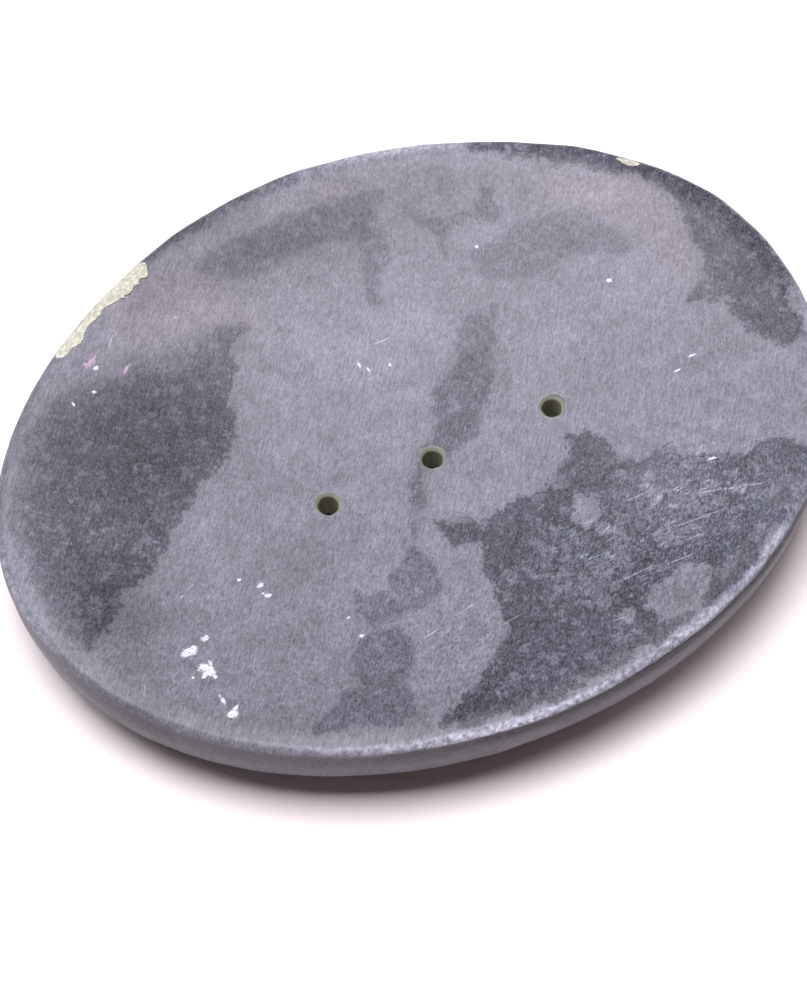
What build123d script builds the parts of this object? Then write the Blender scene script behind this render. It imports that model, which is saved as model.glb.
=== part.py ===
from build123d import *
import os
from math import asin, atan2, cos, degrees, radians, sin, sqrt

# An oval soap dish carved by hand from one piece of soapstone. It has a shallow basin
# with three drain holes, and stands on four glued rubber feet.
# Frame, mm: origin on the table under the middle of the dish, X along the oval, Z up.
# The front is towards -Y.

# Overall sizes, before the carved outline's unevenness
dish_length = 145.0
dish_width = 114.5
total_height = 17.5
foot_height = 4.5
basin_depth = 7.0

# Rim
rim_land = 3.0      # from the widest outline to where the basin's edge starts down
lip_radius = 1.8    # outer corner, rubbed round
roll_radius = 12.0  # where the basin rolls up into the rim

# Underside: a shallow dome with its middle ground flat
base_inset = 20.0   # the flat ends this far in from the widest outline
belly_rise = 1.8    # from the flat up to the dome under the widest outline
bilge_radius = 3.0  # where the dome turns up into the wall

# The outer wall: height above the table, and how far in from the widest outline
wall_stations = (
    (foot_height, 0.9),
    (9.5, 0.25),
    (14.0, 0.0),
    (total_height, 0.3),
)

# Unevenness of the carved outline: waves round the oval, amplitude in mm, phase in degrees
outline_waves = (
    (1, 0.61, -49),
    (2, 0.29, -26),
    (3, 0.31, -154),
    (4, 0.23, 37),
    (5, 0.35, 111),
    (6, 0.15, 174),
)
outline_steps = 36

# Flakes missing from the rim's outer corner. Each is cut by a flattened ball: its place
# round the oval in degrees, its half sizes along the rim, across it and upwards, and how
# far outside and above the corner it stands.
rim_flakes = (
    (122.5, 18.0, 5.0, 4.0, 1.3, 2.3),
    (33.0, 4.0, 2.6, 2.2, 0.6, 1.2),
)

# Drain holes, drilled by hand, so unevenly spaced
drain_diameter = 3.5
drain_mouth_diameter = 4.6
drain_mouth_angle = 90
drain_places = ((-18.7, -3.9), (1.1, -3.8), (23.8, -4.5))
sink_start = 0.5    # the mouth's cone begins this far above the stone

# Rubber feet: low domes with a flat to stand on
foot_diameter = 11.0
foot_contact_diameter = 5.0
foot_wall = 0.9     # straight side next to the stone
foot_x = 30.0
foot_y = 20.0
foot_places = {
    "foot_front_left": (-foot_x, -foot_y),
    "foot_front_right": (foot_x, -foot_y),
    "foot_back_left": (-foot_x, foot_y),
    "foot_back_right": (foot_x, foot_y),
}

half_length = dish_length / 2
half_width = dish_width / 2
mean_radius = (half_length + half_width) / 2
above_rim = total_height + 1


def outline_point(angle, inset):
    """The oval's point at this angle in degrees, moved in by the inset."""
    wave = sum(size * cos(radians(count * angle - phase)) for count, size, phase in outline_waves)
    stretch = 1 + wave / mean_radius
    x = (half_length * stretch - inset) * cos(radians(angle))
    y = (half_width * stretch - inset) * sin(radians(angle))
    return x, y


# The basin is a shallow cap of a large circle, which turns over to meet the rim level
mouth_x = half_length - rim_land
mouth_share = (half_width - rim_land) / mouth_x
basin_floor = total_height - basin_depth
cap_radius = (mouth_x**2 / basin_depth + basin_depth) / 2 - roll_radius
cap_angle = degrees(asin(mouth_x / (cap_radius + roll_radius)))


def basin_level(x, y):
    """Height of the basin's surface above the table."""
    return basin_floor + cap_radius - sqrt(cap_radius**2 - x**2 - (y / mouth_share) ** 2)


# The dome under the dish is a cap of a large circle too
base_x = half_length - base_inset
belly_radius = (half_length**2 - base_x**2) / (2 * belly_rise)
belly_bottom = foot_height - base_x**2 / (2 * belly_radius)
belly_reach = half_length + 5
belly_angle = degrees(asin(belly_reach / belly_radius))

# ---- The basin's hollow, as a solid to cut with ----
with BuildPart() as basin_hollow:
    with BuildSketch(Plane.XZ):
        with BuildLine():
            bowl = JernArc((0, basin_floor), tangent=(1, 0), radius=cap_radius, arc_size=cap_angle)
            roll = JernArc(bowl @ 1, tangent=bowl % 1, radius=roll_radius, arc_size=-cap_angle)
            Polyline(roll @ 1, (mouth_x, above_rim), (0, above_rim), bowl @ 0)
        make_face()
    revolve(axis=Axis.Z)
    scale(by=(1, mouth_share, 1))

# ---- Everything above the domed underside, as a solid to keep ----
with BuildPart() as above_belly:
    with BuildSketch(Plane.YZ):
        with BuildLine():
            dome = JernArc((0, belly_bottom), tangent=(1, 0), radius=belly_radius, arc_size=belly_angle)
            Polyline(dome @ 1, (belly_reach, above_rim), (0, above_rim), dome @ 0)
        make_face()
    revolve(axis=Axis.Z)
    scale(by=(1, dish_width / dish_length, 1))

# ---- The flattened balls that take the flakes off the rim ----
flake_balls = []
for angle, ball_x, ball_y, ball_z, out, up in rim_flakes:
    edge_x, edge_y = outline_point(angle, 0)
    next_x, next_y = outline_point(angle + 1, 0)
    along_rim = Rot(0, 0, degrees(atan2(next_y - edge_y, next_x - edge_x)))
    ball = scale(Sphere(1), by=(ball_x, ball_y, ball_z))
    flake_balls.append(Pos(edge_x, edge_y, total_height) * along_rim * Pos(0, -out, up) * ball)

# ---- Dish body: one piece of soapstone ----
with BuildPart() as dish_body:
    for height, inset in wall_stations:
        with BuildSketch(Plane.XY.offset(height)):
            with BuildLine():
                ring = [outline_point(360 * step / outline_steps, inset) for step in range(outline_steps)]
                Spline(*ring, periodic=True)
            make_face()
    loft()
    add(above_belly.part, mode=Mode.INTERSECT)
    wall = dish_body.faces().sort_by(Axis.Z)[-2]
    fillet(wall.edges().filter_by_position(Axis.Z, foot_height, basin_floor), radius=bilge_radius)
    rim_top = dish_body.faces().sort_by(Axis.Z)[-1]
    fillet(rim_top.edges(), radius=lip_radius)
    add(basin_hollow.part, mode=Mode.SUBTRACT)
    add(flake_balls, mode=Mode.SUBTRACT)
    with Locations(*[(x, y, basin_level(x, y) + sink_start) for x, y in drain_places]):
        CounterSinkHole(
            radius=drain_diameter / 2,
            counter_sink_radius=drain_mouth_diameter / 2 + sink_start,
            counter_sink_angle=drain_mouth_angle,
        )
dish_body.part.label = "dish_body"

os.makedirs("parts", exist_ok=True)
export_step(dish_body.part, "parts/dish_body.step")

# ---- Four rubber feet, glued to the flat underside ----
for name, (x, y) in foot_places.items():
    with BuildPart() as foot:
        with BuildSketch(Plane(origin=(x, y, 0), x_dir=(1, 0, 0), z_dir=(0, -1, 0))):
            with BuildLine():
                rim_corner = (foot_diameter / 2, foot_height - foot_wall)
                Polyline((0, 0), (0, foot_height), (foot_diameter / 2, foot_height), rim_corner)
                TangentArc(rim_corner, (foot_contact_diameter / 2, 0), tangent=(0, -1))
                Line((foot_contact_diameter / 2, 0), (0, 0))
            make_face()
        revolve(axis=Axis((x, y, 0), (0, 0, 1)))
    foot.part.label = name
    export_step(foot.part, f"parts/{name}.step")
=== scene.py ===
import math

import bpy
import numpy as np
from mathutils import Matrix, Vector
from mathutils.geometry import delaunay_2d_cdt


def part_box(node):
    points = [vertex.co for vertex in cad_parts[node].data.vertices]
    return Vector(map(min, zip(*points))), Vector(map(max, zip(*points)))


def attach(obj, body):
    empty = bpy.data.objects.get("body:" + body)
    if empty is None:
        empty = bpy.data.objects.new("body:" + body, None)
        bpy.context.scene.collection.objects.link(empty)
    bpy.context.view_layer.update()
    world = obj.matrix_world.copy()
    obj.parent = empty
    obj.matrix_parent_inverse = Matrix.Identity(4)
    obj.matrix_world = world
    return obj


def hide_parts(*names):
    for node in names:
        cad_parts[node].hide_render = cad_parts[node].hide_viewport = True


# An oval soap dish carved by hand from soapstone, on four rubber feet.
# Sizes and points are in mm in the frame's own axes, and MM turns them into metres.

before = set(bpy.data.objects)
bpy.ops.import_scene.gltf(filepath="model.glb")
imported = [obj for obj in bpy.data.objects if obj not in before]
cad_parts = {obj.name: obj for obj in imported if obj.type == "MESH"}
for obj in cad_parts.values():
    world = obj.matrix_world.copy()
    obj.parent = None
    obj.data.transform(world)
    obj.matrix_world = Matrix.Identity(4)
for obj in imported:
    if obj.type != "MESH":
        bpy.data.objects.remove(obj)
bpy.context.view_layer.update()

MM = 0.001

# ---- The stone's sizes, as its design has them ----
stone_low, stone_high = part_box("dish_body")
TOP = stone_high.z / MM
BASE = stone_low.z / MM
HALF_LENGTH = 72.5
HALF_WIDTH = 57.25
MEAN_RADIUS = (HALF_LENGTH + HALF_WIDTH) / 2
# What makes the oval uneven: how many waves go round it, their size, their phase in degrees
OUTLINE_WAVES = (
    (1, 0.61, -49), (2, 0.29, -26), (3, 0.31, -154), (4, 0.23, 37), (5, 0.35, 111), (6, 0.15, 174),
)
# The wall's profile: height, and how far in it lies from the outline
WALL_STATIONS = ((4.5, 0.9), (9.5, 0.25), (14.0, 0.0), (17.5, 0.3))
RIM_LAND = 3.0
ROLL_RADIUS = 12.0
BASIN_DEPTH = 7.0
BILGE_RADIUS = 3.0    # where the wall turns under
BILGE_PULL = 0.55     # length of that curve's handles, as a share of the radius
BASE_INSET = 20.0
BELLY_RISE = 1.8
LIP_RADIUS = 1.8

MOUTH_X = HALF_LENGTH - RIM_LAND
MOUTH_SHARE = (HALF_WIDTH - RIM_LAND) / MOUTH_X
CAP_RADIUS = (MOUTH_X**2 / BASIN_DEPTH + BASIN_DEPTH) / 2 - ROLL_RADIUS
ROLL_START = MOUTH_X * CAP_RADIUS / (CAP_RADIUS + ROLL_RADIUS)
BASE_X = HALF_LENGTH - BASE_INSET
BELLY_RADIUS = (HALF_LENGTH**2 - BASE_X**2) / (2 * BELLY_RISE)
BELLY_BOTTOM = BASE - BASE_X**2 / (2 * BELLY_RADIUS)
BELLY_SHARE = HALF_WIDTH / HALF_LENGTH

# Drain holes, drilled by hand
DRAINS = ((-18.7, -3.9), (1.1, -3.8), (23.8, -4.5))
DRAIN_RADIUS = 1.75
DRAIN_MOUTH = 2.3     # radius of the countersunk mouth
MOUTH_EASE = 0.04     # how far the mouth's edge is rounded to each side

# How finely the stone is meshed
AROUND = 960          # points round the rim
SHEET_REACH = 6.0     # the basin's sheet ends this far in from the outline
BELLY_REACH = 8.0     # the underside's sheet likewise
TOP_STEP = 0.56       # between points of the basin's sheet
BELLY_STEP = 1.4      # between points of the underside's sheet
DRAIN_AROUND = 48     # points round each drain
DRAIN_COLLAR = 3.4    # radius of the round patch of finer mesh at each drain
BELLY_COLLAR = 3.0    # the same on the underside
LAND_ROWS, LIP_ROWS, WALL_ROWS, BILGE_ROWS, APRON_ROWS = 11, 9, 8, 12, 3
PLANE_WAVES = 30      # summed in each random field
NOWHERE = -9.0        # a distance in mm that is well outside any shape

# The rim's corner is rubbed down more in some places than others:
# middle of the stretch in degrees, its half length in degrees, and what it adds to the radius
LIP_LOBES = ((-125, 35, -0.6), (-48, 30, 1.6), (15, 30, 0.5))

# Where that corner is paler, partly from rubbing and partly a painted highlight: middle and half length in
# degrees, how far in, how pale
PALE_AND_HIGHLIGHT_LOBES = (
    (-100, 22, 1.6, 2.3), (-64, 24, 2.2, 1.9), (-28, 20, 3.2, 1.6), (5, 30, 1.2, 1.0),
    (30, 12, 0.8, 1.2), (180, 10, 1.0, 0.7), (-140, 20, 0.9, 0.3), (72, 12, 3.0, 1.2),
)
# The front wall has a darker band just under that corner: middle and half length in degrees,
# how dark, and how far down the wall it starts, is full, begins to fade and ends
SHADE_BAND = (-78, 30, 2.6)
SHADE_DEPTHS = (1.1, 1.5, 2.8, 4.2)

# Flakes broken off the rim's corner, each with the points of its broken edge on the rim
FLAKE_EDGES = (
    ((-49.6, 40.6), (-48.4, 40.4), (-47.2, 40.6), (-46.0, 41.4), (-44.9, 41.0), (-43.2, 42.8),
     (-41.4, 44.2), (-39.6, 45.2), (-37.4, 46.3), (-35.0, 46.9), (-33.2, 47.2), (-31.2, 48.4),
     (-28.6, 48.9), (-27.8, 50.4), (-27.0, 52.3)),
    ((56.9, 34.6), (57.4, 33.1), (57.9, 31.9), (58.6, 31.0), (60.4, 30.4)),
)
FLAKE_SLOPE = 3.0     # how far in the break goes for each mm that it goes down
FLAKE_MARGIN = 0.45   # how far it reaches beyond its points
FLAKE_TAPER = 2.5     # how much narrower it gets for each mm beyond its ends

# Small nicks in the wall: x, height, half length, half height, depth
WALL_NICKS = (
    (-3.4, 13.4, 1.5, 0.7, 0.35), (2.6, 13.8, 2.2, 0.8, 0.45), (8.0, 14.4, 2.6, 0.6, 0.25),
    (-24.0, 14.0, 2.4, 0.7, 0.25), (-19.0, 13.2, 2.0, 0.7, 0.25), (-38.0, 14.2, 1.6, 0.6, 0.15),
    (17.0, 15.0, 1.4, 0.5, 0.2), (33.0, 14.6, 1.6, 0.5, 0.15),
)


# ---- Fields over the stone ----
def ripple(points, seed, shortest, longest):
    """A smooth random field of about unit size, as a sum of plane waves of these wavelengths."""
    rng = np.random.default_rng(seed)
    total = np.zeros(len(points))
    for _ in range(PLANE_WAVES):
        direction = rng.normal(size=points.shape[1])
        direction /= np.linalg.norm(direction)
        wavelength = shortest * (longest / shortest) ** rng.random()
        total += np.sin(points @ direction * 2 * math.pi / wavelength + rng.random() * 2 * math.pi)
    return total / math.sqrt(PLANE_WAVES / 2)


def lobe(angle, middle, half_length):
    """1 at the middle of a stretch of the rim, fading to 0 beyond its ends. All in degrees."""
    away = (angle - middle + 180) % 360 - 180
    return np.exp(-((away / half_length) ** 2))


def ramp(values, start, end):
    """0 at the start and 1 at the end, straight between and flat beyond. Either may be the larger."""
    return np.clip((values - start) / (end - start), 0, 1)


def outline(angle, inset):
    """Points of the oval at these angles in radians, moved in by the inset."""
    wave = sum(size * np.cos(count * angle - math.radians(phase))
               for count, size, phase in OUTLINE_WAVES)
    stretch = 1 + wave / MEAN_RADIUS
    x = (HALF_LENGTH * stretch - inset) * np.cos(angle)
    y = (HALF_WIDTH * stretch - inset) * np.sin(angle)
    return x, y


def rim_place(x, y):
    """Angle in radians and inset of points near the rim."""
    angle = np.arctan2(y / HALF_WIDTH, x / HALF_LENGTH)
    inset = 0.0
    for _ in range(4):
        edge_x, edge_y = outline(angle, 0)
        inset = (edge_x - x) * np.cos(angle) + (edge_y - y) * np.sin(angle)
        angle = np.arctan2(y / (HALF_WIDTH - inset), x / (HALF_LENGTH - inset))
    return angle, inset


def top_level(x, y):
    """Height of the upper surface: the basin, rolled over into the rim, with a carver's unevenness."""
    reach = np.hypot(x, y / MOUTH_SHARE)
    bowl = TOP - BASIN_DEPTH + CAP_RADIUS - np.sqrt(np.maximum(CAP_RADIUS**2 - reach**2, 0))
    roll = TOP - ROLL_RADIUS + np.sqrt(np.maximum(ROLL_RADIUS**2 - (MOUTH_X - reach) ** 2, 0))
    level = np.where(reach < ROLL_START, bowl, np.where(reach < MOUTH_X, roll, TOP))
    places = np.column_stack([x, y])
    return level + 0.07 * ripple(places, 3, 20, 60) + 0.015 * ripple(places, 4, 5, 12)


def belly_level(x, y):
    """Height of the underside: a shallow dome, ground flat in the middle."""
    reach = np.hypot(x, y / BELLY_SHARE)
    return np.maximum(BASE, BELLY_BOTTOM + BELLY_RADIUS - np.sqrt(BELLY_RADIUS**2 - reach**2))


def signed_distance(points, corners):
    """Distance in mm from each point to a closed outline, positive inside it."""
    corners = np.array(corners, float)
    nearest = np.full(len(points), np.inf)
    inside = np.zeros(len(points), bool)
    for start, end in zip(corners, np.roll(corners, -1, axis=0)):
        along = end - start
        away = points - start
        share = np.clip(away @ along / (along @ along), 0, 1)
        nearest = np.minimum(nearest, np.linalg.norm(away - share[:, None] * along, axis=1))
        crosses = (start[1] > points[:, 1]) != (end[1] > points[:, 1])
        rise = along[1] if along[1] else 1.0
        inside ^= crosses & (away[:, 0] < along[0] * away[:, 1] / rise)
    return np.where(inside, nearest, -nearest)


# ---- Where the stone changes colour, and where sheen and shade are painted on it, as shapes on the dish seen from above ----
# Shapes, spots and marks are charted from a point just in front of the frame's origin.
CHART = (0.28, -0.8)
# Dark patches: how dark each is, from 0 to 1, and its outline
DARK_PATCHES = (
    (0.85, ((-16, 33), (-21, 30), (-21.5, 27), (-24, 24), (-25.5, 21), (-27, 16), (-30, 12.5),
            (-35, 10), (-38, 7), (-42, 4.5), (-46, 1), (-50, -2.5), (-54, -4.5), (-57, -5),
            (-60, -9), (-62, -11), (-66, -13), (-69, -11), (-70, -2), (-69, 6), (-69, 14),
            (-66, 20), (-61, 28), (-54, 33), (-44, 36), (-36, 37), (-28, 37), (-20, 36))),
    (0.6, ((20, 19), (17, 18), (14, 13.5), (9, 10), (6.5, 7.5), (5, 6), (4.3, 3), (3, 1),
           (0.5, -0.5), (-2, -2.2), (-4, -4.3), (-5.2, -6.5), (-6, -8.5), (-8, -12), (-10, -15),
           (-13, -18), (-15.5, -20), (-17.5, -21.5), (-20.3, -23.2), (-21.5, -22), (-22.8, -20.3),
           (-24, -22.5), (-24.8, -24.5), (-24.3, -27.5), (-20, -28.5), (-14, -28.5), (-9.5, -27),
           (-8.5, -22.5), (-9, -19.5), (-9.5, -17), (-7.6, -14), (-5.5, -11.5), (-3, -8),
           (-1.5, -5), (1, -5.2), (4, -4), (7, -3), (10, -1.5), (11.5, 0.5), (14, 3), (17, 5.5),
           (18.5, 8), (21, 12), (23, 15), (25, 19))),
    (0.6, ((-24.3, -29), (-27, -30), (-30, -33), (-30.2, -36.5), (-33, -37.5), (-37, -39.5),
           (-42, -42), (-40, -43.5), (-35, -44), (-30, -46), (-25, -47), (-23.5, -43), (-24, -40),
           (-21.5, -38), (-19, -35), (-18.5, -32), (-21, -29.5))),
    (1.0, ((-5, -14.8), (-1, -15.5), (0.5, -16.5), (2, -18), (5, -17.8), (9, -17.5), (12, -17.3),
           (15, -16.5), (18, -15), (20.5, -14), (22, -13), (22.7, -10.5), (22.9, -7.5),
           (23.8, -8.5), (24.2, -11), (26, -11), (27.5, -14), (28.2, -16.5), (28, -19), (31, -20.5),
           (36, -20), (37, -22), (40, -25), (44, -27.5), (47, -29), (51, -28.5), (53, -30),
           (55.5, -33), (60, -36), (53, -42), (46, -44.5), (42, -46.5), (37, -48), (30, -50.5),
           (20, -52.5), (10, -54), (0, -55), (-10, -54.5), (-20, -52), (-22, -50), (-18, -48),
           (-15, -46), (-10, -43), (-6, -41), (-4, -37), (-3, -33), (-2, -28), (-1, -25),
           (-0.5, -21.5), (-4, -19.5))),
    (0.9, ((35, 51), (34.5, 46.5), (38, 44.5), (42, 42), (44, 39.5), (46, 38), (50, 36), (53, 33),
           (56, 30), (58.5, 27.5), (61, 24), (62, 21), (61, 18), (60.5, 14), (60.2, 9), (57, 4.5),
           (53, 2.5), (57, 0.8), (59.5, -0.5), (59, -4), (60, -8), (61, -11), (62.5, -13),
           (64, -15), (66.5, -14.5), (68.5, -10.5), (67.5, -8), (68, -6), (70.5, -4.5), (74, 0),
           (73, 12), (68, 26), (60, 37), (50, 46), (42, 52))),
    (0.5, ((-20, 47), (-14, 49.5), (-6, 49.5), (1, 50), (9, 49), (15, 48), (17, 46), (14, 44.5),
           (11.5, 42.5), (14, 40.5), (13.5, 37), (11, 34.5), (7, 30.5), (8.5, 27.5), (5.5, 27),
           (4.5, 30), (6, 34), (8, 38), (8.5, 41), (5, 42.8), (1, 42), (-4, 42.5), (-9, 41.5),
           (-14, 42), (-18, 44))),
    (0.55, ((17.5, 41), (19, 43.2), (20, 41), (21.5, 39), (23.5, 38), (26, 37.2), (29, 37),
            (31.5, 38.5), (33.5, 40.5), (35, 39), (33.5, 36.5), (34, 33.5), (32, 32.5),
            (29.5, 34.5), (28, 36), (25, 36), (23, 34.5), (22, 31), (21, 31), (21.2, 34.5),
            (20.5, 37.5), (18.5, 39.5))),
    (0.4, ((25, 30), (30, 29.5), (36, 31), (41, 30), (46, 28.5), (48.5, 25), (50.5, 21), (52, 17),
           (48, 16.5), (44, 19.5), (38, 21), (31, 21), (26, 23), (25, 26.5))),
    (0.55, ((-29, 58), (-29, 50.5), (-24, 52), (-17, 53.5), (-8, 55), (0, 54.5), (4, 55.5),
            (6, 60))),
)
# Light islands inside them
LIGHT_ISLANDS = (
    ((-6.5, -22), (-4.5, -20.5), (-2.5, -21), (-2.8, -22.8), (-0.5, -23.2), (-1.5, -25.5), (-3.5, -28.5),
     (-5.5, -27), (-7.3, -26.5), (-6, -24)),
    ((15.5, -25), (17, -22.5), (19, -21.2), (21.5, -22.5), (20.5, -25.2), (18.5, -27.5), (16.5, -27.5)),
    ((17, -44.5), (22, -43), (27, -42.5), (29, -45), (27.5, -48), (26, -50), (21, -50.5), (17, -50.5),
     (16.5, -47)),
    ((12.5, -46), (14.5, -45.5), (14.3, -49), (13, -50.5), (12, -49)),
    ((38, -46.5), (42, -43), (45, -43.5), (44.5, -45.5), (41, -47.5)),
)
# Soft changes: x, y, reach along, reach across, turn in degrees, amount
STRENGTH_SPOTS = (
    (-43, 20, 9, 9, 0, 0.15), (-52, 1, 9, 4, -15, 0.12), (-36, 37, 26, 5, 5, -0.8),
    (-66, 24, 8, 14, -30, -0.6), (-70, -4, 5, 16, 0, -0.4), (32, -27, 9, 7, -10, -0.45),
    (22, -32, 6, 5, 0, -0.15), (12, -37, 2.4, 3.6, 0, -0.4), (48, -37, 8, 6, -30, -0.15),
    (20, 17, 7, 5, 40, -0.15), (58, 6, 4, 5, 0, -0.3),
)
# Lighter and darker places in the stone's tone; the lighter middle and the spot at the pink far right are
# painted sheen, and the darker places along the left-front rim are painted shade
TONE_SHEEN_AND_SHADE_SPOTS = (
    (-42, 21, 15, 13, 0, -0.06), (-60, -10, 8, 12, 0, -0.045), (-3, 46, 24, 7, 0, -0.05),
    (66, 6, 6, 13, 0, -0.035), (30, 42, 11, 5, -10, -0.025), (35, 25, 10, 6, 0, -0.005),
    (-32, 45, 9, 4, 20, -0.015), (-64, 22, 6, 12, -30, -0.02), (30, -38, 9, 7, 0, 0.03),
    (47, -36, 8, 6, -30, 0.035), (-14, -25, 5, 4, 0, 0.03), (-12, -38, 6, 8, 0, -0.02),
    (47, -19, 12, 7, 20, 0.01), (-30, -10, 10, 10, 0, -0.03), (-3, -48, 9, 4, 0, 0.015),
    (-66, -24, 5, 12, 30, -0.03), (-62, -27, 5, 9, 35, -0.03), (-46, -39, 12, 5, -35, -0.03),
    (-26, -49, 11, 4, -12, -0.03), (38, 46, 13, 4, -28, 0.03), (22, -46.5, 6, 4, 0, -0.03),
    (-57, -8, 7, 6, 0, -0.02), (-38, -32, 13, 9, 0, -0.025), (5, 42, 7, 5, 0, -0.02),
    (-15, 53.5, 10, 2.5, 0, -0.05), (-54, -12, 6, 6, 0, -0.02), (52, 27, 6, 5, -30, 0.02),
    (8, 22, 22, 10, 0, 0.012), (-8, 8, 12, 8, 0, 0.008),
)
# Pink sheen painted on the far slopes and far rim, a painted reflection, with the same columns
PINK_SHEEN_SPOTS = (
    (-27, 42, 12, 7, 12, 1.0), (46, 33, 5, 4, -45, 0.8), (53, 27, 5, 6, -40, 1.0), (57, 18, 4, 7, 0, 0.9),
    (56, 9, 4, 5, 0, 0.4), (0, 51, 12, 3, 0, 0.35), (12, 51, 8, 3, 0, 0.4), (-17, 34, 5, 5, 0, 0.5),
)
SCRATCH_SPOTS = (
    (26, -36, 17, 9, -8, 1.0), (38, -30, 12, 7, -25, 0.9), (-12, -38, 9, 8, 10, 0.45),
    (14, -31, 8, 6, 0, 0.6),
)

# Marks on the surface: x, y, half length, half width, turn in degrees
WHITE_MARKS = (
    (-51.9, -19.6, 1.2, 0.75, 10), (-51.0, -19.4, 0.7, 0.7, 0), (-48.4, -18.2, 0.75, 0.5, 20),
    (-50.9, -23.2, 0.8, 0.8, 0), (-50.2, -24.3, 1.0, 0.8, 60), (-51.2, -24.6, 0.9, 0.4, 20),
    (-50.0, -25.5, 0.6, 0.35, 80), (-49.6, -22.9, 0.3, 0.5, 0), (-53.3, -24.3, 0.25, 0.2, 0),
    (-50.8, -30.3, 0.3, 0.95, 0), (-50.4, -33.4, 0.85, 0.7, 0), (-49.6, -32.4, 0.6, 0.3, 30),
    (-36.1, -12.6, 0.6, 0.45, 15), (-35.8, -14.9, 0.5, 0.35, -15), (-36.3, -14.2, 0.3, 0.2, 0),
    (-38.7, -10.2, 0.3, 0.25, 0), (-25.7, -28.9, 0.42, 0.42, 0), (-25.9, -24.7, 0.3, 0.2, 0),
    (44.1, 13.1, 0.35, 0.35, 0), (45.2, -8.5, 0.75, 0.22, 0), (49.0, -7.2, 0.8, 0.18, -8),
    (41.0, -26.8, 0.7, 0.25, -10), (-2.0, 18.9, 0.25, 0.7, 0), (-1.0, 17.5, 0.2, 0.4, 0),
    (2.8, 16.7, 0.25, 0.35, 0), (-43.5, 36.0, 0.4, 0.3, 0), (-45.7, 32.0, 0.35, 0.3, 0),
    (-49.8, 31.0, 0.2, 0.45, 0), (27.0, 30.2, 0.3, 0.3, 0),
)
PINK_MARKS = (
    (-43.8, 37.4, 1.1, 0.45, 35), (-44.9, 37.2, 0.5, 0.3, -20), (-38.9, 34.0, 0.95, 0.28, 40),
    (-27.0, 39.9, 0.5, 0.22, 0),
)
FINE_SCRATCHES = (
    (-62.4, -6.0, 1.4, 0.11, 5), (-46.5, -8.3, 0.8, 0.1, 35), (-48.5, -9.4, 0.4, 0.1, 30),
    (-44.7, -11.2, 0.4, 0.1, 50), (-61.2, -23.5, 1.3, 0.09, 62), (-39.2, 39.7, 1.2, 0.1, 50),
    (3.5, 21.4, 1.6, 0.12, 0), (18.5, -39.9, 3.6, 0.16, -2), (26.5, -41.2, 2.2, 0.16, -6),
    (33.5, -35.9, 4.2, 0.13, -9), (37.5, -32.2, 2.6, 0.13, -22), (40.6, -33.6, 0.9, 0.16, -20),
    (15.0, -33.6, 1.0, 0.14, -5), (19.0, -29.8, 1.2, 0.12, 20), (-15.5, -33.7, 1.8, 0.1, 8),
    (26.0, -26.6, 3.0, 0.1, -4), (30.5, -38.6, 2.8, 0.1, -8), (44.0, -35.0, 1.6, 0.12, -25),
    (12.0, -46.2, 1.5, 0.1, -8), (-3.0, -37.5, 2.0, 0.1, 6), (-8.0, -32.0, 1.6, 0.1, 12),
)


def spread(points, spots):
    """The sum of soft spots at these points."""
    total = np.zeros(len(points))
    for x, y, reach_x, reach_y, turn, amount in spots:
        c, s = math.cos(math.radians(turn)), math.sin(math.radians(turn))
        away = points - (x, y)
        along = (away[:, 0] * c + away[:, 1] * s) / reach_x
        across = (away[:, 1] * c - away[:, 0] * s) / reach_y
        total += amount * np.exp(-(along**2) - across**2)
    return total


# ---- The stone's mesh ----
class Shell:
    """Points and faces of one mesh, gathered piece by piece."""

    def __init__(self):
        self.points = []
        self.faces = []
        self.count = 0

    def add(self, x, y, z, edge, raw):
        """Adds points, and returns the number of each. Edge and raw are kept for the material."""
        block = np.column_stack([np.broadcast_to(a, np.shape(x)) for a in (x, y, z, edge, raw)])
        self.points.append(block)
        self.count += len(block)
        return np.arange(self.count - len(block), self.count)

    def band(self, ring, next_ring):
        """Quads between two closed rings of as many points."""
        after, next_after = np.roll(ring, -1), np.roll(next_ring, -1)
        self.faces += np.column_stack([ring, next_ring, next_after, after]).tolist()

    def all_points(self):
        return np.vstack(self.points)


def hex_lattice(step, reach_x, reach_y):
    """Points of a triangular lattice over the oval."""
    rows = int(reach_y / (step * math.sqrt(3) / 2)) + 1
    columns = int(reach_x / step) + 1
    row, column = np.meshgrid(np.arange(-rows, rows + 1), np.arange(-columns, columns + 1), indexing="ij")
    x = (column + 0.5 * (row % 2)) * step
    y = row * step * math.sqrt(3) / 2
    return np.column_stack([x.ravel(), y.ravel()])


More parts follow.
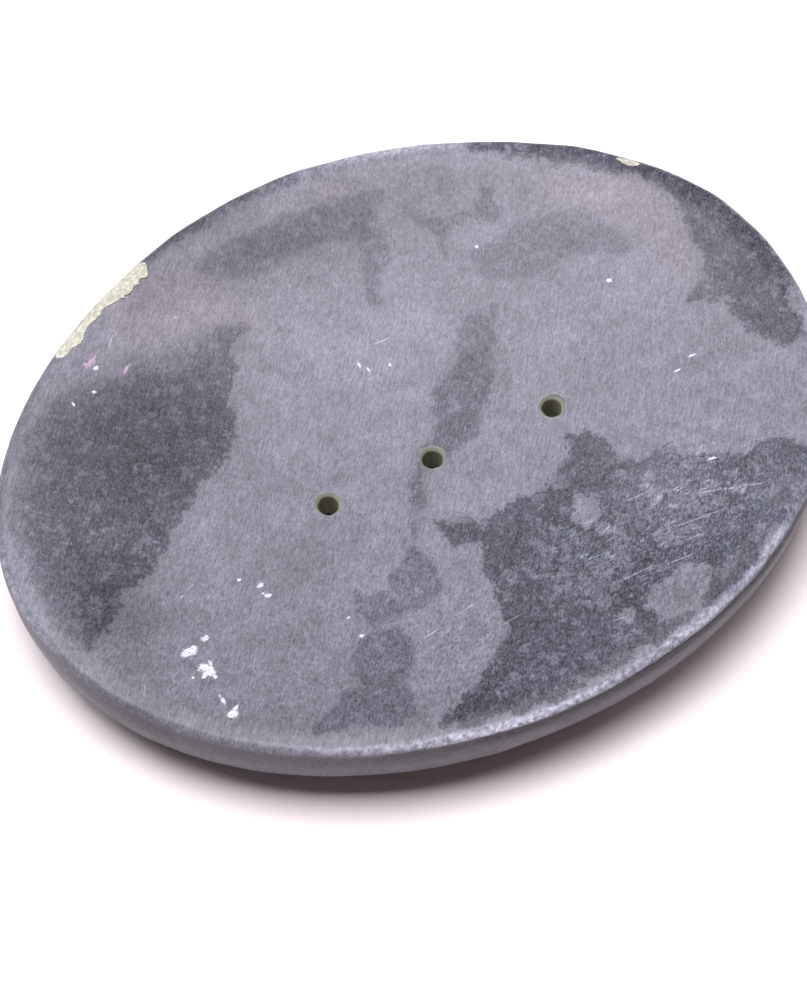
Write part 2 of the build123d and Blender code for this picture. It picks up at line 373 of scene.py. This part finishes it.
def fill_sheet(shell, outer, inners, level, step, collar, facing_up):
    """Triangles from an outer ring to the drains' rings, over a lattice of new points."""
    places = shell.all_points()
    outer_xy = places[outer][:, :2]
    lattice = hex_lattice(step, HALF_LENGTH, HALF_WIDTH)
    keep = signed_distance(lattice, outer_xy[:: AROUND // 240]) > 0.45 * step
    for x, y in DRAINS:
        keep &= np.hypot(lattice[:, 0] - x, lattice[:, 1] - y) > collar + 0.5 * step
    lattice = lattice[keep]
    x, y = lattice.T
    new = shell.add(x, y, level(x, y), -SHEET_REACH, NOWHERE)
    numbers = np.concatenate([outer, *inners, new])
    flat = shell.all_points()[numbers][:, :2]
    edges, first = [], 0
    for ring in [outer, *inners]:
        edges += [(first + k, first + (k + 1) % len(ring)) for k in range(len(ring))]
        first += len(ring)
    _, _, triangles, sources, _, _ = delaunay_2d_cdt([Vector(p) for p in flat], edges, [], 1, 1e-6)
    source = np.array([s[0] for s in sources])
    corners = source[np.array(triangles)]
    middle = flat[corners].mean(axis=1)
    good = np.ones(len(corners), bool)
    hole = collar * math.cos(math.pi / DRAIN_AROUND) - 1e-3
    for x, y in DRAINS:
        good &= np.hypot(middle[:, 0] - x, middle[:, 1] - y) > hole
    corners = corners[good]
    a, b, c = (flat[corners[:, i]] for i in range(3))
    up = (b[:, 0] - a[:, 0]) * (c[:, 1] - a[:, 1]) - (b[:, 1] - a[:, 1]) * (c[:, 0] - a[:, 0]) > 0
    corners[up != facing_up] = corners[up != facing_up][:, ::-1]
    shell.faces += numbers[corners].tolist()


def flake_widths(angle, edge_points):
    """How wide a flake's break is on the rim at each angle, negative beyond its ends."""
    places = np.array(edge_points, float) + CHART
    break_angle, break_inset = rim_place(places[:, 0], places[:, 1])
    order = np.argsort(break_angle)
    break_angle, break_inset = break_angle[order], break_inset[order]
    width = np.interp(angle, break_angle, break_inset)
    beyond = np.maximum(break_angle[0] - angle, angle - break_angle[-1]) * MEAN_RADIUS
    rim = np.column_stack(outline(angle, 0))
    jagged = 0.14 * ripple(rim, 11, 1.4, 4.0) + 0.04 * ripple(rim, 12, 0.8, 1.2)
    return np.where(beyond > 0, width - FLAKE_TAPER * beyond, width + jagged) + FLAKE_MARGIN


def smooth_rows(angle, rim):
    """Inset, height and edge for each row of the unbroken rim, and the height of its corner. The rows
    go from the basin over the lip, down the wall and round the bilge to the underside. Edge is how
    far down the wall a row is, or minus how far in on top."""
    degrees = np.degrees(angle)
    radius = LIP_RADIUS + sum(amount * lobe(degrees, middle, half) for middle, half, amount in LIP_LOBES)
    radius += 0.12 * ripple(rim, 5, 8, 25)
    wall_curve = np.polyfit(*zip(*WALL_STATIONS), 3)

    def wall_inset(height):
        place = np.column_stack([rim, height])
        uneven = 0.05 * ripple(place, 6, 7, 22) + 0.012 * ripple(place, 7, 2, 5)
        return np.polyval(wall_curve, height) + uneven

    rows = []
    lip_start = radius + 0.1
    for share in np.linspace(0, 1, LAND_ROWS, endpoint=False):
        inset = SHEET_REACH + (lip_start - SHEET_REACH) * share
        rows.append((inset, top_level(*outline(angle, inset)), -inset))
    corner = top_level(*outline(angle, lip_start))
    lean = wall_inset(corner - radius)
    for turn in np.radians(np.linspace(0, 90, LIP_ROWS, endpoint=False)):
        drop = radius * (1 - math.cos(turn))
        reach = radius * (1 - math.sin(turn))
        rows.append((lean + reach, corner - drop, drop - reach))
    wall_end = BASE + BELLY_RISE + BILGE_RADIUS - 0.3
    for share in np.linspace(0, 1, WALL_ROWS):
        height = (corner - radius) * (1 - share) + wall_end * share
        rows.append((wall_inset(height), height, corner - height))
    turn_start = rows[-1][0]
    turn_end = turn_start + BILGE_RADIUS
    end_level = belly_level(*outline(angle, turn_end))
    end_slope = end_level - belly_level(*outline(angle, turn_end + 1))
    handle = BILGE_PULL * BILGE_RADIUS
    wall_handle = wall_end - BILGE_PULL * (wall_end - end_level)
    for share in np.linspace(0, 1, BILGE_ROWS + 1)[1:]:
        a, b, c, d = (1 - share)**3, 3 * share * (1 - share)**2, 3 * share**2 * (1 - share), share**3
        inset = (a + b) * turn_start + c * (turn_end - handle) + d * turn_end
        height = a * wall_end + b * wall_handle + c * (end_level + end_slope * handle) + d * end_level
        rows.append((inset, height, corner - height))
    for share in np.linspace(0, 1, APRON_ROWS + 1)[1:]:
        inset = turn_end + (BELLY_REACH - turn_end) * share
        height = belly_level(*outline(angle, inset))
        rows.append((inset, height, corner - height))
    return rows, corner


def rim_rows():
    """Inset, height, edge and raw for each row of the rim, with its flakes broken off and its nicks.
    Raw is how far inside a flake's break a point is."""
    angle = np.linspace(-math.pi, math.pi, AROUND, endpoint=False)
    rim = np.column_stack(outline(angle, 0))
    rows, corner = smooth_rows(angle, rim)
    widths = [flake_widths(angle, points) for points in FLAKE_EDGES]
    finished = []
    for inset, height, edge in rows:
        drop = np.maximum(corner - height, 0)
        raw = np.full(AROUND, NOWHERE)
        place = np.column_stack([rim, height * 2])
        rough = 1 + 0.05 * ripple(place, 21, 1.2, 3) + 0.03 * ripple(place, 22, 0.7, 1.2)
        for width in widths:
            depth = inset + FLAKE_SLOPE * drop
            broken = width - depth
            scale = np.where(broken > 0, width / np.maximum(depth, 0.05), 1)
            hollow = np.where(broken > 0, 1 + (rough - 1) * np.minimum(broken, 1), 1)
            inset = inset * scale * hollow
            height = corner - (corner - height) * np.where(corner > height, scale * hollow, 1)
            raw = np.maximum(raw, broken)
        for x, middle, half_length, half_height, depth in WALL_NICKS:
            dent = np.exp(-(((rim[:, 0] - x) / half_length) ** 2) - ((height - middle) / half_height) ** 2)
            inset = inset + np.where(angle < 0, depth * dent, 0)
        finished.append((inset, height, edge, raw))
    return angle, finished


def drain_rows(x, y):
    """The points of each ring of a drain, from the basin's sheet down to the underside's."""
    turn = np.linspace(0, 2 * math.pi, DRAIN_AROUND, endpoint=False)
    ring = np.column_stack([np.cos(turn), np.sin(turn)])
    out_of_round = 1 + 0.02 * ripple(ring + (x, y), 31, 0.8, 3)
    sill = float(top_level(np.array([x]), np.array([y]))[0])
    floor = float(belly_level(x, y))
    bevel = DRAIN_MOUTH - DRAIN_RADIUS
    # Radius and height, with no height for the rings that follow the basin
    rows = [(radius, None) for radius in (DRAIN_COLLAR, 3.05, 2.75, 2.55, 2.42, DRAIN_MOUTH + MOUTH_EASE)]
    rows += [(DRAIN_MOUTH - MOUTH_EASE, sill - 0.06), (DRAIN_RADIUS + 0.6 * bevel, sill - 0.25)]
    rows += [(DRAIN_RADIUS + 0.2 * bevel, sill - 0.5), (DRAIN_RADIUS, sill - 0.75)]
    rows += [(DRAIN_RADIUS, height) for height in np.linspace(sill - 1.1, floor + 0.1, 7)]
    rows += [(DRAIN_RADIUS + 0.1, floor), (2.2, floor), (BELLY_COLLAR, floor)]
    for radius, height in rows:
        reach = radius * (out_of_round if radius < BELLY_COLLAR else 1)
        px, py = x + reach * ring[:, 0], y + reach * ring[:, 1]
        yield px, py, top_level(px, py) if height is None else np.full(DRAIN_AROUND, height)


def stone_shell():
    """The whole carved stone as one closed surface."""
    shell = Shell()
    angle, rows = rim_rows()
    rings = []
    for inset, height, edge, raw in rows:
        x, y = outline(angle, inset)
        rings.append(shell.add(x, y, height, edge, raw))
    for ring, next_ring in zip(rings, rings[1:]):
        shell.band(ring, next_ring)
    top_rings, belly_rings = [], []
    for x, y in DRAINS:
        drain = [shell.add(px, py, pz, -SHEET_REACH, NOWHERE) for px, py, pz in drain_rows(x, y)]
        for ring, next_ring in zip(drain, drain[1:]):
            shell.band(next_ring, ring)
        top_rings.append(drain[0])
        belly_rings.append(drain[-1])
    fill_sheet(shell, rings[0], top_rings, top_level, TOP_STEP, DRAIN_COLLAR, True)
    fill_sheet(shell, rings[-1], belly_rings, belly_level, BELLY_STEP, BELLY_COLLAR, False)
    return shell


def darkness(flat, edge):
    """How far inside a dark patch each point of the upper surface is, and how dark that patch is."""
    depths = np.array([signed_distance(flat, corners) for _, corners in DARK_PATCHES])
    strengths = np.array([strength for strength, _ in DARK_PATCHES])
    strength = strengths[depths.argmax(axis=0)] + spread(flat, STRENGTH_SPOTS)
    depth = depths.max(axis=0)
    for corners in LIGHT_ISLANDS:
        depth = np.minimum(depth, -signed_distance(flat, corners))
    return np.where(edge < 0.5, depth, NOWHERE), np.clip(strength, 0, 1.2)


def wear_highlight_and_shade(x, y, edge):
    """How pale the rim's corner is at each point, from wear and a painted highlight, and below 0 in the
    painted shade of the dark band under it.
    """
    angle = np.degrees(np.arctan2(y / HALF_WIDTH, x / HALF_LENGTH))
    pale = np.zeros(len(edge))
    for middle, half_length, reach, amount in PALE_AND_HIGHLIGHT_LOBES:
        across = ramp(edge, -reach, -0.4 * reach) * ramp(edge, 1.2, 0.8)
        pale = np.maximum(pale, amount * across * lobe(angle, middle, half_length))
    middle, half_length, amount = SHADE_BAND
    start, full, fade, end = SHADE_DEPTHS
    shade = ramp(edge, start, full) * ramp(edge, end, fade)
    return pale - amount * shade * lobe(angle, middle, half_length)


def stone_mesh():
    """The stone's mesh, with the fields that its material reads."""
    shell = stone_shell()
    x, y, z, edge, raw = shell.all_points().T
    mesh = bpy.data.meshes.new("soapstone_dish")
    mesh.from_pydata((np.column_stack([x, y, z]) * MM).tolist(), [], shell.faces)
    mesh.validate()
    flat = np.column_stack([x, y]) - CHART
    dark, strength = darkness(flat, edge)
    fields = {
        "edge": edge,
        # pale: the corner's wear and painted highlight, less the painted shade of the band on the wall under
        # it
        "pale": wear_highlight_and_shade(x, y, edge),
        "raw": raw,
        "dark": dark,
        "strength": strength,
        # tone: the stone's own tone, with painted sheen and painted shade in places
        "tone": spread(flat, TONE_SHEEN_AND_SHADE_SPOTS),
        # pink: a painted pink sheen
        "pink": np.clip(spread(flat, PINK_SHEEN_SPOTS), 0, 1),
        "scratched": np.clip(spread(flat, SCRATCH_SPOTS), 0, 1),
    }
    for name, values in fields.items():
        mesh.attributes.new(name, "FLOAT", "POINT").data.foreach_set("value", values.astype(np.float32))
    mesh.shade_smooth()
    mesh.set_sharp_from_angle(angle=math.radians(40))
    return mesh


# ---- Materials ----
# The stone's tones run from 0 to about 0.8, and become linear light by this gain and power.
LIGHT_STONE, DARK_STONE, DARKEST = 0.34, 0.212, 0.05
TONE_GAIN, TONE_POWER = 1.29, 2.2
STONE_TINT = (0.97, 0.97, 1.16)
WHITE_POWDER = (0.74, 0.70, 0.84, 1)
PINK_POWDER = (0.40, 0.28, 0.42, 1)
RAW_DARK, RAW_LIGHT = (0.36, 0.36, 0.28, 1), (0.56, 0.55, 0.47, 1)
DRAIN_RING = (0.29, 0.29, 0.23, 1)
# The drains' walls: drilled stone, made paler to paint in light on them
LIT_DRAIN_WALL = (0.32, 0.32, 0.21, 1)


class Shader:
    """Short calls for building one node material. Values may be numbers or other nodes' outputs."""

    def __init__(self, name):
        self.material = bpy.data.materials.new(name)
        self.material.use_nodes = True
        self.tree = self.material.node_tree
        self.surface = self.tree.nodes["Principled BSDF"]
        spot = self.node("ShaderNodeTexCoord").outputs["Object"]
        scaled = self.node("ShaderNodeVectorMath", operation="SCALE")
        self.join(scaled.inputs["Vector"], spot)
        scaled.inputs["Scale"].default_value = 1 / MM
        self.place = scaled.outputs["Vector"]

    def node(self, kind, **settings):
        made = self.tree.nodes.new(kind)
        for key, value in settings.items():
            setattr(made, key, value)
        return made

    def join(self, socket, value):
        if isinstance(value, bpy.types.NodeSocket):
            self.tree.links.new(value, socket)
        else:
            socket.default_value = value

    def maths(self, operation, a, b):
        made = self.node("ShaderNodeMath", operation=operation)
        self.join(made.inputs[0], a)
        self.join(made.inputs[1], b)
        return made.outputs[0]

    def field(self, name):
        return self.node("ShaderNodeAttribute", attribute_name=name).outputs["Fac"]

    def turned(self, degrees, stretch):
        """The place, turned about Z and stretched along that direction."""
        made = self.node("ShaderNodeMapping", vector_type="TEXTURE")
        self.join(made.inputs["Vector"], self.place)
        made.inputs["Rotation"].default_value = (0, 0, math.radians(degrees))
        made.inputs["Scale"].default_value = (stretch, 1, 1)
        return made.outputs["Vector"]

    def noise(self, size, detail=2.0, roughness=0.5, place=None):
        """Noise with spots of about this size in mm, centred on 0."""
        made = self.node("ShaderNodeTexNoise")
        self.join(made.inputs["Vector"], place or self.place)
        made.inputs["Scale"].default_value = 1 / size
        made.inputs["Detail"].default_value = detail
        made.inputs["Roughness"].default_value = roughness
        return self.maths("SUBTRACT", made.outputs["Fac"], 0.5)

    def step(self, value, low, high, to_low=0.0, to_high=1.0):
        """A smooth step from low to high."""
        made = self.node("ShaderNodeMapRange", interpolation_type="SMOOTHSTEP")
        for socket, given in zip(made.inputs, (value, low, high, to_low, to_high)):
            self.join(socket, given)
        return made.outputs["Result"]

    def times(self, *values):
        total = values[0]
        for value in values[1:]:
            total = self.maths("MULTIPLY", total, value)
        return total

    def plus(self, *values):
        total = values[0]
        for value in values[1:]:
            total = self.maths("ADD", total, value)
        return total

    def weighted(self, *terms):
        """The sum of values given with their weights."""
        return self.plus(*(self.times(value, weight) for value, weight in terms))

    def mix(self, share, a, b):
        """A blend of two colours."""
        made = self.node("ShaderNodeMix", data_type="RGBA")
        self.join(made.inputs["Factor"], share)
        self.join(made.inputs["A"], a)
        self.join(made.inputs["B"], b)
        return next(output for output in made.outputs if output.type == "RGBA")

    def combined(self, red, green, blue):
        """A colour from three values."""
        made = self.node("ShaderNodeCombineColor")
        for socket, value in zip(made.inputs, (red, green, blue)):
            self.join(socket, value)
        return made.outputs["Color"]

    def marks(self, places, ragged, origin=CHART):
        """1 inside any of these small ovals, with ragged edges."""
        flat = self.node("ShaderNodeVectorMath", operation="MULTIPLY")
        self.join(flat.inputs[0], self.place)
        flat.inputs[1].default_value = (1, 1, 0)
        nearest = -NOWHERE
        for x, y, half_length, half_width, turn in places:
            oval = self.node("ShaderNodeMapping", vector_type="TEXTURE")
            self.join(oval.inputs["Vector"], flat.outputs["Vector"])
            oval.inputs["Location"].default_value = (x + origin[0], y + origin[1], 0)
            oval.inputs["Rotation"].default_value = (0, 0, math.radians(turn))
            oval.inputs["Scale"].default_value = (half_length, half_width, 1)
            length = self.node("ShaderNodeVectorMath", operation="LENGTH")
            self.join(length.inputs[0], oval.outputs["Vector"])
            nearest = self.maths("MINIMUM", length.outputs["Value"], nearest)
        return self.step(self.plus(nearest, ragged), 1.15, 0.85)

    def bump(self, height, depth):
        """Relief of the given depth in mm for a height from 0 to 1."""
        made = self.node("ShaderNodeBump")
        made.inputs["Strength"].default_value = 1.0
        made.inputs["Distance"].default_value = depth * MM
        self.join(made.inputs["Height"], height)
        self.join(self.surface.inputs["Normal"], made.outputs["Normal"])


def dark_zones(s, fine, middle, blotch):
    """How dark the stone is, from 0 to 1, with ragged borders and worn places."""
    ragged = s.weighted((blotch, 6.0), (middle, 3.5), (fine, 2.5))
    zone = s.step(s.plus(s.field("dark"), ragged), -0.15, 0.25)
    worn = s.step(s.plus(s.noise(2.6, 4.0, 0.65), s.times(s.field("scratched"), 0.05)), 0.05, 0.11)
    return s.times(zone, s.field("strength"), s.plus(1.0, s.times(worn, -0.5)))


def speckle(s, fine, middle, zone):
    """Grain, stronger in the dark zones and the scratched part."""
    pits = s.step(s.noise(1.1, 4.0, 0.75), 0.07, 0.15)
    grain = s.weighted((fine, 0.46), (middle, 0.24), (pits, -0.06))
    return s.times(grain, s.plus(0.42, s.weighted((zone, 0.22), (s.field("scratched"), 0.3))))


def scratches(s, middle):
    """Fine scratches side by side in the worn part, and the single long ones."""
    gate = s.noise(2.4, 1.0, 0.5)
    streaks = s.noise(0.26, 2.0, 0.5, s.turned(-5, 14))
    cross_streaks = s.noise(0.3, 1.0, 0.5, s.turned(14, 10))
    lines = s.plus(s.step(s.plus(streaks, s.times(gate, 0.6)), 0.08, 0.20),
                   s.step(s.plus(cross_streaks, s.times(gate, 0.6)), 0.12, 0.24))
    return s.times(lines, s.field("scratched")), s.marks(FINE_SCRATCHES, s.times(middle, 1.6))


def rim_wear_highlight_and_shade(s, middle, blotch):
    """What the rim adds to the tone: its corner is paler from wear and a painted highlight, and the wall
    under it darker with painted shade.
    """
    edge = s.plus(s.field("edge"), s.weighted((blotch, 1.2), (middle, 0.8)))
    # the corner's wear and painted highlight, with the wall band's painted shade
    worn_and_lit = s.times(s.field("pale"), s.plus(1.0, s.times(middle, 3.0)))
    flecks = s.step(s.noise(0.8, 3.0, 0.65, s.turned(20, 2.0)), 0.02, 0.12)
    # painted shade on the wall just under the corner
    under = s.times(s.step(edge, 1.0, 1.6), s.step(edge, 7.0, 4.0))
    under = s.times(under, s.plus(0.7, s.weighted((flecks, 0.6), (blotch, 2.0))))
    return s.weighted((worn_and_lit, 0.10), (under, -0.07))


def tinted(s, tone, zone, blotch):
    """The stone's colour for a tone: bluish, more so in the dark zones, and pink where a pink sheen is
    painted.
    """
    linear = s.maths("POWER", s.times(tone, TONE_GAIN), TONE_POWER)
    cool = s.times(zone, 0.07)
    # painted pink sheen, a painted reflection
    pink = s.times(s.field("pink"), s.plus(0.8, s.times(blotch, 1.2)))
    red, green, blue = STONE_TINT
    return s.combined(s.times(linear, s.plus(red, s.weighted((pink, 0.16), (cool, -0.5)))),
                      s.times(linear, green),
                      s.times(linear, s.plus(blue, s.weighted((pink, 0.02), (cool, 1.5)))))


def with_powder(s, stone, middle):
    """The stone's colour with the white and pink powdery marks on it."""
    powder = s.noise(0.3, 2.0, 0.6)
    ragged = s.weighted((middle, 2.2), (powder, 2.6))
    cover = s.step(powder, -0.09, 0.03, 0.35, 1.0)
    stone = s.mix(s.times(s.marks(WHITE_MARKS, ragged), cover), stone, WHITE_POWDER)
    return s.mix(s.times(s.marks(PINK_MARKS, ragged), 0.8), stone, PINK_POWDER)


def with_drains(s, stone, middle):
    """The stone's colour with a pale ring at each drain, and pale walls in it: drilled stone made paler as
    painted light on the walls.
    """
    rings = s.marks([(x, y, DRAIN_MOUTH, DRAIN_MOUTH, 0) for x, y in DRAINS], s.times(middle, 0.2), (0, 0))
    bores = s.marks([(x, y, DRAIN_RADIUS, DRAIN_RADIUS, 0) for x, y in DRAINS], 0.0, (0, 0))
    stone = s.mix(s.times(rings, 0.8), stone, DRAIN_RING)
    # painted light on the drains' walls
    return s.mix(s.times(bores, 0.9), stone, LIT_DRAIN_WALL)


def soapstone():
    """Honed grey soapstone, raw where flakes broke off."""
    s = Shader("soapstone")
    fine = s.noise(0.34, 3.0, 0.6, s.turned(52, 1.6))
    middle = s.noise(0.9, 2.0, 0.6)
    blotch = s.noise(3.2, 3.0, 0.55)
    broad = s.noise(14, 2.0, 0.5)
    sanding = s.noise(0.28, 2.0, 0.5, s.turned(50, 9))
    zone = dark_zones(s, fine, middle, blotch)
    lines, single = scratches(s, middle)
    tone = s.plus(LIGHT_STONE, s.times(zone, DARK_STONE - LIGHT_STONE), s.field("tone"),
                  speckle(s, fine, middle, zone), rim_wear_highlight_and_shade(s, middle, blotch),
                  s.weighted((sanding, 0.16), (blotch, 0.10), (broad, 0.08), (lines, 0.09), (single, 0.13)))
    tone = s.maths("MAXIMUM", tone, DARKEST)

    stone = with_powder(s, tinted(s, tone, zone, blotch), middle)
    raw = s.step(s.field("raw"), 0.02, 0.12)
    raw_noise = s.noise(0.8, 3.0, 0.6)
    stone = s.mix(raw, stone, s.mix(s.step(raw_noise, -0.15, 0.2), RAW_DARK, RAW_LIGHT))
    s.join(s.surface.inputs["Base Color"], with_drains(s, stone, middle))

    roughness = s.plus(0.48, s.weighted((zone, -0.05), (fine, 0.15), (raw, 0.35)))
    s.join(s.surface.inputs["Roughness"], roughness)
    s.surface.inputs["IOR"].default_value = 1.4
    relief = s.plus(0.5, s.times(fine, s.plus(0.5, zone)), s.times(raw, s.times(raw_noise, 5.0)),
                    s.weighted((middle, 0.5), (sanding, 0.5), (lines, -0.35), (single, -0.5)))
    s.bump(relief, 0.05)
    return s.material


def rubber():
    """Black moulded rubber with a faint bloom and dust."""
    s = Shader("rubber")
    bloom = s.noise(2.5, 4.0, 0.6)
    grain = s.noise(0.25, 2.0, 0.6)
    grey = s.plus(0.022, s.times(s.step(bloom, 0.0, 0.25), 0.02), s.times(grain, 0.012))
    s.join(s.surface.inputs["Base Color"], s.combined(grey, grey, s.times(grey, 1.06)))
    s.join(s.surface.inputs["Roughness"], s.plus(0.62, s.times(bloom, 0.3)))
    s.surface.inputs["IOR"].default_value = 1.5
    s.bump(s.plus(0.5, grain), 0.03)
    return s.material


def pale_floor():
    """A plain pale floor, slightly warm and slightly uneven in tone."""
    s = Shader("pale_floor")
    shade = s.plus(0.86, s.times(s.noise(60, 2.0), 0.01))
    warm = s.times(shade, 0.93)
    s.join(s.surface.inputs["Base Color"], s.combined(shade, warm, warm))
    s.surface.inputs["Roughness"].default_value = 0.8
    return s.material


# ---- Pieces ----
def show(name, mesh, material):
    piece = bpy.data.objects.new(name, mesh)
    bpy.context.scene.collection.objects.link(piece)
    mesh.materials.clear()
    mesh.materials.append(material)
    return piece


def lathe(name, middle, profile, around):
    """A round mesh from a profile of (radius, height) points that starts and ends on its axis."""
    points, faces = [], []
    for radius, height in profile[1:-1]:
        for k in range(around):
            turn = 2 * math.pi * k / around
            points.append((middle[0] + radius * math.cos(turn), middle[1] + radius * math.sin(turn), height))
    rings = len(profile) - 2
    for r in range(rings - 1):
        for k in range(around):
            after = (k + 1) % around
            ring, next_ring = r * around, (r + 1) * around
            faces.append((ring + k, next_ring + k, next_ring + after, ring + after))
    first, last = len(points), len(points) + 1
    points += [(*middle, profile[0][1]), (*middle, profile[-1][1])]
    for k in range(around):
        after = (k + 1) % around
        faces.append((first, k, after))
        faces.append((last, (rings - 1) * around + after, (rings - 1) * around + k))
    mesh = bpy.data.meshes.new(name)
    mesh.from_pydata([[v * MM for v in p] for p in points], [], faces)
    mesh.shade_smooth()
    mesh.set_sharp_from_angle(angle=math.radians(50))
    return mesh


def foot_profile(height, radius):
    """A low rubber dome, from its glued top round to the small gate mark under it."""
    contact, wall_drop, corner, gate = 2.5, 0.9, 0.25, 0.75
    profile = [(0, height), (radius - corner, height)]
    profile += [(radius - corner * (1 - math.sin(t)), height - corner * (1 - math.cos(t)))
                for t in np.radians((22.5, 45, 67.5, 90))]
    profile.append((radius, height - wall_drop))
    rise, reach = height - wall_drop, radius - contact
    dome = (reach**2 + rise**2) / (2 * reach)
    swing = math.asin(rise / dome)
    for share in np.linspace(0, 1, 13)[1:]:
        turn = swing * share
        profile.append((radius - dome * (1 - math.cos(turn)), height - wall_drop - dome * math.sin(turn)))
    profile += [(contact - 0.25, 0.0), (gate, 0.0), (gate - 0.1, 0.06), (gate - 0.25, 0.07), (0, 0.04)]
    return profile


body = "root"
stone_skin = soapstone()
dish = show("soapstone_dish", stone_mesh(), stone_skin)
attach(dish, body)
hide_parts("dish_body")

foot_skin = rubber()
for place in ("front_left", "front_right", "back_left", "back_right"):
    node = f"foot_{place}"
    low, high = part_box(node)
    middle = ((low.x + high.x) / 2 / MM, (low.y + high.y) / 2 / MM)
    profile = foot_profile(high.z / MM, (high.x - low.x) / 2 / MM)
    foot = show(f"rubber_{node}", lathe(f"rubber_{node}", middle, profile, 64), foot_skin)
    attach(foot, body)
    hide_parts(node)


# ---- Stage, light and camera, with lamps' places and sizes in metres ----
# The camera stands to the front left and looks down. Its place is turned from the front, in degrees.
VIEW_AZIMUTH, VIEW_ELEVATION = -27.3, 60.5
VIEW_DISTANCE = 394.7
VIEW_TARGET = Vector((-8.82, -12.3, TOP))
SENSOR_WIDTH, LENS = 36, 86.4
VIEW_ACROSS = Vector((math.cos(math.radians(VIEW_AZIMUTH)), math.sin(math.radians(VIEW_AZIMUTH)), 0))
VIEW_AHEAD = Vector((-VIEW_ACROSS.y, VIEW_ACROSS.x, 0))
# The wide softbox hangs over the dish with its long side across the view, a little behind and left.
# The small one stands low at the right.
OVERHEAD_PLACE = VIEW_ACROSS * -0.15 + VIEW_AHEAD * 0.08 + Vector((0, 0, 0.8))
SIDE_PLACE = Vector((0.8, 0.05, 0.38))
FLOOR_REACH = 2.5


def make_floor():
    size = FLOOR_REACH
    mesh = bpy.data.meshes.new("floor")
    corners = [(-size, -size, 0), (size, -size, 0), (size, size, 0), (-size, size, 0)]
    mesh.from_pydata(corners, [], [(0, 1, 2, 3)])
    floor = show("floor", mesh, pale_floor())


def aim(thing, place, target, across):
    """Puts a lamp or camera at a place, facing the target, with its own X along the given direction."""
    back = (Vector(place) - Vector(target)).normalized()
    side = (Vector(across) - Vector(across).dot(back) * back).normalized()
    turned = Matrix((side, back.cross(side), back)).transposed().to_4x4()
    thing.matrix_world = Matrix.Translation(place) @ turned


def softbox(name, place, across, size, power, colour):
    """A lamp of this width and depth that faces the dish. Power is in watts."""
    data = bpy.data.lights.new(name, "AREA")
    data.shape = "RECTANGLE"
    data.size, data.size_y = size
    data.energy = power
    data.color = colour
    lamp = bpy.data.objects.new(name, data)
    bpy.context.scene.collection.objects.link(lamp)
    aim(lamp, place, (0, 0, 0), across)


def surroundings(strength, colour):
    world = bpy.data.worlds.new("studio")
    world.use_nodes = True
    background = world.node_tree.nodes["Background"]
    background.inputs["Color"].default_value = (*colour, 1)
    background.inputs["Strength"].default_value = strength
    bpy.context.scene.world = world


def make_camera():
    a, e = math.radians(VIEW_AZIMUTH), math.radians(VIEW_ELEVATION)
    back = Vector((math.sin(a) * math.cos(e), -math.cos(a) * math.cos(e), math.sin(e)))
    data = bpy.data.cameras.new("camera")
    data.sensor_width, data.lens = SENSOR_WIDTH, LENS
    camera = bpy.data.objects.new("camera", data)
    bpy.context.scene.collection.objects.link(camera)
    target = VIEW_TARGET * MM
    aim(camera, target + back * VIEW_DISTANCE * MM, target, VIEW_ACROSS)
    data.clip_start, data.clip_end = 0.01, 20
    bpy.context.scene.camera = camera


make_floor()
softbox("overhead_softbox", OVERHEAD_PLACE, VIEW_ACROSS, (0.7, 0.42), 12.3, (0.985, 0.975, 1.02))
softbox("side_softbox", SIDE_PLACE, (0, 1, 0), (0.4, 0.4), 1.3, (1.0, 0.95, 0.97))
surroundings(0.10, (1.0, 0.76, 0.75))
make_camera()
bpy.context.scene.view_settings.view_transform = "Standard"
